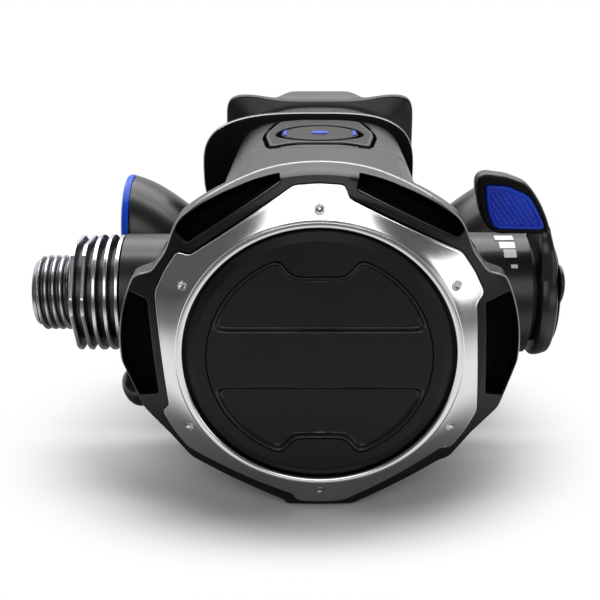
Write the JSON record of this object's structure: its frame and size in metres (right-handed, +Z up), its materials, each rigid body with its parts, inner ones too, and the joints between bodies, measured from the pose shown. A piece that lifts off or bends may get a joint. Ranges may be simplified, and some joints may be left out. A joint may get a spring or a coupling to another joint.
{
  "type": "scuba regulator second stage",
  "caption": "Scuba demand valve with purge cover in a metal bezel, finned hose inlet, breathing knob, venturi lever, twin-horn exhaust tee and mouthpiece.",
  "frame": {"origin": "middle of the bounding box in X and Y, at the surface that the front frame and the exhaust tee stand on", "axes": "+Z up; -X out of the hose inlet along the valve barrel; +Y from the purge cover back through the mouthpiece"},
  "size_m": [0.0992, 0.0906, 0.0652],
  "materials": {
    "satin_black": "satin",
    "cover_black": "matte",
    "plug_black": "gloss",
    "mouth_rubber": "matte",
    "bezel_steel": "polished",
    "fin_steel": "polished",
    "plain_steel": "satin",
    "plated_brass": "satin",
    "white_plastic": "matte",
    "sleeve_plastic": "matte",
    "silicone": "satin",
    "royal_blue": "gloss"
  },
  "bodies": {
    "case": {"case_shell": "satin_black", "front_frame": "satin_black", "bezel": "bezel_steel", "bezel_pins": "bezel_steel", "diaphragm_ring": "satin_black", "diaphragm": "silicone", "valve_barrel": "plated_brass", "inlet_fitting": "plain_steel", "heat_exchanger": "fin_steel", "orifice": "plain_steel", "inlet_seals": "mouth_rubber", "lever_pin": "plain_steel", "poppet_spring": "plain_steel", "barrel_bushing": "plated_brass", "scale_marks": "white_plastic", "exhaust_tee": "satin_black", "exhaust_trim_left": "royal_blue", "exhaust_trim_right": "royal_blue", "mouthpiece": "mouth_rubber", "mouthpiece_clamp": "satin_black", "clamp_badge": "satin_black", "badge_inlay": "royal_blue", "lock_plug": "plug_black"},
    "cover": {"purge_cover": "cover_black"},
    "diaphragm_plate": {"diaphragm_plate": "plain_steel"},
    "demand_lever": {"demand_lever": "plain_steel"},
    "poppet": {"poppet": "white_plastic", "poppet_seat": "mouth_rubber"},
    "knob": {"adjusting_knob": "satin_black", "knob_cap": "plain_steel"},
    "screw": {"adjusting_screw": "plated_brass", "spring_pad": "white_plastic", "screw_seal": "mouth_rubber"},
    "venturi": {"venturi_sleeve": "sleeve_plastic", "venturi_lever": "satin_black", "venturi_pad": "royal_blue"},
    "exhaust_valve": {"exhaust_valve": "silicone"}
  },
  "joints": [
    {"name": "purge_press", "type": "slide", "parent": "case", "child": "cover", "axis": [0, 1, 0], "range_m": [0, 0.003], "stiffness_N_per_m": 300},
    {"name": "diaphragm_move", "type": "slide", "parent": "case", "child": "diaphragm_plate", "axis": [0, 1, 0], "range_m": [0, 0.003], "deforming": ["diaphragm"]},
    {"name": "lever_tilt", "type": "hinge", "parent": "case", "child": "demand_lever", "pos_m": [0.0134, -0.0293, 0.0354], "axis": [0, 0, -1], "range_deg": [0, 14.5]},
    {"name": "poppet_travel", "type": "slide", "parent": "case", "child": "poppet", "axis": [1, 0, 0], "range_m": [0, 0.0009], "deforming": ["poppet_spring"]},
    {"name": "knob_turn", "type": "hinge", "parent": "case", "child": "knob", "pos_m": [0.0484, -0.0214, 0.0354], "axis": [1, 0, 0], "range_deg": [-632, 632]},
    {"name": "screw_travel", "type": "slide", "parent": "case", "child": "screw", "axis": [1, 0, 0], "range_m": [-0.00175, 0.00175], "deforming": ["poppet_spring"]},
    {"name": "venturi_turn", "type": "hinge", "parent": "case", "child": "venturi", "pos_m": [0.0445, -0.0214, 0.0354], "axis": [-1, 0, 0], "range_deg": [0, 50]},
    {"name": "exhaust_open", "type": "slide", "parent": "case", "child": "exhaust_valve", "axis": [0, 1, 0], "range_m": [0, 0.0015], "stiffness_N_per_m": 20}
  ],
  "couplings": [
    {"joint": "diaphragm_move", "follows": "purge_press", "ratio": 1},
    {"joint": "lever_tilt", "follows": "purge_press", "rad_per_m": 81.4},
    {"joint": "poppet_travel", "follows": "purge_press", "ratio": 0.3},
    {"joint": "knob_turn", "follows": "screw_travel", "rad_per_m": 6283.2}
  ]
}
